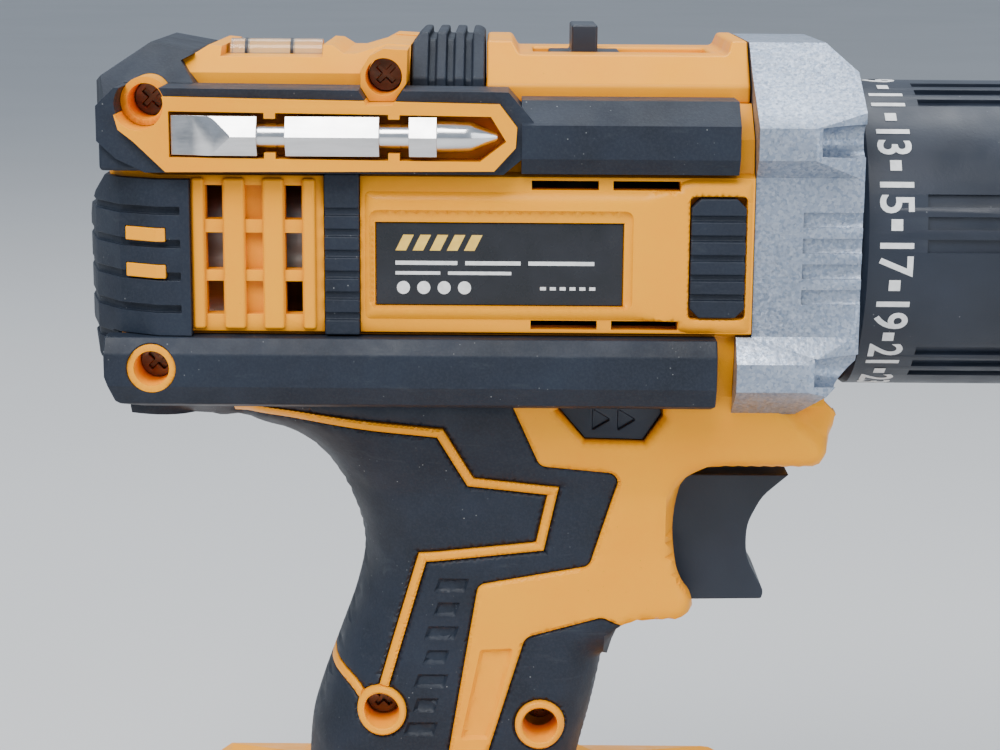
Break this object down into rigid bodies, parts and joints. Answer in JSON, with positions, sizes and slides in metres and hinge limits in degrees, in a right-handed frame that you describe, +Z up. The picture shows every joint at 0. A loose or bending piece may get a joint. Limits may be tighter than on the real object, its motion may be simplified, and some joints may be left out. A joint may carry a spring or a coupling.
{
  "type": "cordless drill",
  "caption": "Cordless drill with pistol grip, slide-on battery, keyless chuck, torque collar, two-speed planetary gearbox and a bit tray on its side.",
  "frame": {"origin": "centre of the bounding box's bottom face, on the surface the battery stands on", "axes": "+X along the spindle towards the chuck, +Z up, -Y the side with the bit tray"},
  "size_m": [0.1979, 0.074, 0.1936],
  "materials": {
    "yellow_plastic": "moulded plastic, slightly satin",
    "soft_rubber": "soft-touch moulded rubber, fine grain",
    "black_plastic": "moulded plastic, fine texture",
    "label_film": "printed label",
    "clear_plastic": "clear tube",
    "cast_metal": "cast, painted silver",
    "case_metal": "die cast",
    "machined_steel": "machined",
    "chuck_steel": "ground steel",
    "bit_chrome": "plated",
    "screw_metal": "dark plated",
    "motor_steel": "drawn steel",
    "magnet": "ferrite",
    "rotor_metal": "copper windings on steel",
    "carbon": "pressed carbon",
    "cell_wrap": "shrink wrap"
  },
  "bodies": {
    "housing": {"left_shell": "yellow_plastic", "right_shell": "yellow_plastic", "left_grip": "soft_rubber", "right_grip": "soft_rubber", "left_upper_rail": "soft_rubber", "right_upper_rail": "soft_rubber", "left_lower_rail": "soft_rubber", "right_lower_rail": "soft_rubber", "rear_bumper": "soft_rubber", "bumper_tabs": "yellow_plastic", "left_band": "soft_rubber", "right_band": "soft_rubber", "left_insert": "soft_rubber", "right_insert": "soft_rubber", "left_plate": "label_film", "right_plate": "label_film", "rear_shoulder": "soft_rubber", "rear_cover": "yellow_plastic", "level_vial": "clear_plastic", "top_grip": "soft_rubber", "speed_cover": "yellow_plastic", "bit_tray": "yellow_plastic", "housing_screws": "screw_metal", "gear_housing": "cast_metal", "housing_bolts": "machined_steel", "gear_case": "case_metal", "ring_one": "machined_steel", "spindle_bearings": "machined_steel", "clutch_spring": "machined_steel", "motor_can": "motor_steel", "motor_cap": "black_plastic", "motor_magnets": "magnet", "carbon_brushes": "carbon", "switch_body": "black_plastic", "trigger_spring": "machined_steel"},
    "speed_knob": {"speed_knob": "black_plastic"},
    "shift_ring": {"ring_two": "machined_steel", "shift_yoke": "machined_steel"},
    "spare_bit": {"spare_bit": "bit_chrome"},
    "collar": {"torque_collar": "black_plastic"},
    "pressure_ring": {"pressure_ring": "machined_steel"},
    "rotor": {"rotor": "rotor_metal"},
    "carrier_one": {"carrier_one": "machined_steel"},
    "planet_1a": {"planet_1a": "machined_steel"},
    "planet_1b": {"planet_1b": "machined_steel"},
    "planet_1c": {"planet_1c": "machined_steel"},
    "spindle": {"carrier_two": "machined_steel", "chuck_body": "chuck_steel"},
    "planet_2a": {"planet_2a": "machined_steel"},
    "planet_2b": {"planet_2b": "machined_steel"},
    "planet_2c": {"planet_2c": "machined_steel"},
    "sleeve": {"chuck_sleeve": "black_plastic", "chuck_nut": "machined_steel"},
    "jaw_a": {"jaw_a": "chuck_steel"},
    "jaw_b": {"jaw_b": "chuck_steel"},
    "jaw_c": {"jaw_c": "chuck_steel"},
    "trigger": {"trigger": "black_plastic"},
    "direction_button": {"direction_button": "black_plastic"},
    "battery": {"battery_pack": "black_plastic", "battery_cells": "cell_wrap"}
  },
  "joints": [
    {"name": "spindle_spin", "type": "hinge", "parent": "housing", "child": "spindle", "pos_m": [0.027, 0, 0.16], "axis": [1, 0, 0], "continuous": true},
    {"name": "stage_one_spin", "type": "hinge", "parent": "housing", "child": "carrier_one", "pos_m": [-0.018, 0, 0.16], "axis": [1, 0, 0], "continuous": true},
    {"name": "rotor_spin", "type": "hinge", "parent": "housing", "child": "rotor", "pos_m": [-0.053, 0, 0.16], "axis": [1, 0, 0], "continuous": true},
    {"name": "planet_1a_spin", "type": "hinge", "parent": "carrier_one", "child": "planet_1a", "pos_m": [-0.026, 0, 0.1696], "axis": [1, 0, 0], "continuous": true},
    {"name": "planet_2a_spin", "type": "hinge", "parent": "spindle", "child": "planet_2a", "pos_m": [-0.013, 0, 0.1696], "axis": [1, 0, 0], "continuous": true},
    {"name": "planet_1b_spin", "type": "hinge", "parent": "carrier_one", "child": "planet_1b", "pos_m": [-0.026, -0.00831, 0.1552], "axis": [1, 0, 0], "continuous": true},
    {"name": "planet_2b_spin", "type": "hinge", "parent": "spindle", "child": "planet_2b", "pos_m": [-0.013, -0.00831, 0.1552], "axis": [1, 0, 0], "continuous": true},
    {"name": "planet_1c_spin", "type": "hinge", "parent": "carrier_one", "child": "planet_1c", "pos_m": [-0.026, 0.00831, 0.1552], "axis": [1, 0, 0], "continuous": true},
    {"name": "planet_2c_spin", "type": "hinge", "parent": "spindle", "child": "planet_2c", "pos_m": [-0.013, 0.00831, 0.1552], "axis": [1, 0, 0], "continuous": true},
    {"name": "sleeve_turn", "type": "hinge", "parent": "spindle", "child": "sleeve", "pos_m": [0.067, 0, 0.16], "axis": [1, 0, 0], "range_deg": [-930, 930]},
    {"name": "jaw_a_slide", "type": "slide", "parent": "spindle", "child": "jaw_a", "axis": [0.9659, 0, -0.2588], "range_m": [-0.0068, 0.0068]},
    {"name": "jaw_b_slide", "type": "slide", "parent": "spindle", "child": "jaw_b", "axis": [0.9659, 0.2241, 0.1294], "range_m": [-0.0068, 0.0068]},
    {"name": "jaw_c_slide", "type": "slide", "parent": "spindle", "child": "jaw_c", "axis": [0.9659, -0.2241, 0.1294], "range_m": [-0.0068, 0.0068]},
    {"name": "collar_turn", "type": "hinge", "parent": "housing", "child": "collar", "pos_m": [0.037, 0, 0.16], "axis": [1, 0, 0], "range_deg": [-180, 90]},
    {"name": "pressure_slide", "type": "slide", "parent": "housing", "child": "pressure_ring", "axis": [1, 0, 0], "range_m": [-0.0042, 0.0022], "deforming": ["clutch_spring"]},
    {"name": "speed_select", "type": "slide", "parent": "housing", "child": "speed_knob", "axis": [1, 0, 0], "range_m": [0, 0.012]},
    {"name": "ring_shift", "type": "slide", "parent": "housing", "child": "shift_ring", "axis": [1, 0, 0], "range_m": [0, 0.0048]},
    {"name": "bit_pull", "type": "slide", "parent": "housing", "child": "spare_bit", "axis": [0, -1, 0], "range_m": [0, 0.03]},
    {"name": "trigger_pull", "type": "slide", "parent": "housing", "child": "trigger", "axis": [-1, 0, 0], "range_m": [0, 0.006], "stiffness_N_per_m": 800, "springref_m": -0.004, "deforming": ["trigger_spring"]},
    {"name": "direction_push", "type": "slide", "parent": "housing", "child": "direction_button", "axis": [0, -1, 0], "range_m": [0, 0.0036]},
    {"name": "battery_release", "type": "slide", "parent": "housing", "child": "battery", "axis": [1, 0, 0], "range_m": [0, 0.095]}
  ],
  "couplings": [
    {"joint": "stage_one_spin", "follows": "spindle_spin", "ratio": 4},
    {"joint": "rotor_spin", "follows": "spindle_spin", "ratio": 16},
    {"joint": "planet_2a_spin", "follows": "spindle_spin", "ratio": -3},
    {"joint": "planet_1a_spin", "follows": "spindle_spin", "ratio": -12},
    {"joint": "planet_2b_spin", "follows": "spindle_spin", "ratio": -3},
    {"joint": "planet_1b_spin", "follows": "spindle_spin", "ratio": -12},
    {"joint": "planet_2c_spin", "follows": "spindle_spin", "ratio": -3},
    {"joint": "planet_1c_spin", "follows": "spindle_spin", "ratio": -12},
    {"joint": "jaw_a_slide", "follows": "sleeve_turn", "m_per_rad": 0.00041192},
    {"joint": "jaw_b_slide", "follows": "sleeve_turn", "m_per_rad": 0.00041192},
    {"joint": "jaw_c_slide", "follows": "sleeve_turn", "m_per_rad": 0.00041192},
    {"joint": "pressure_slide", "follows": "collar_turn", "m_per_rad": 0.00127},
    {"joint": "ring_shift", "follows": "speed_select", "ratio": 0.4}
  ]
}
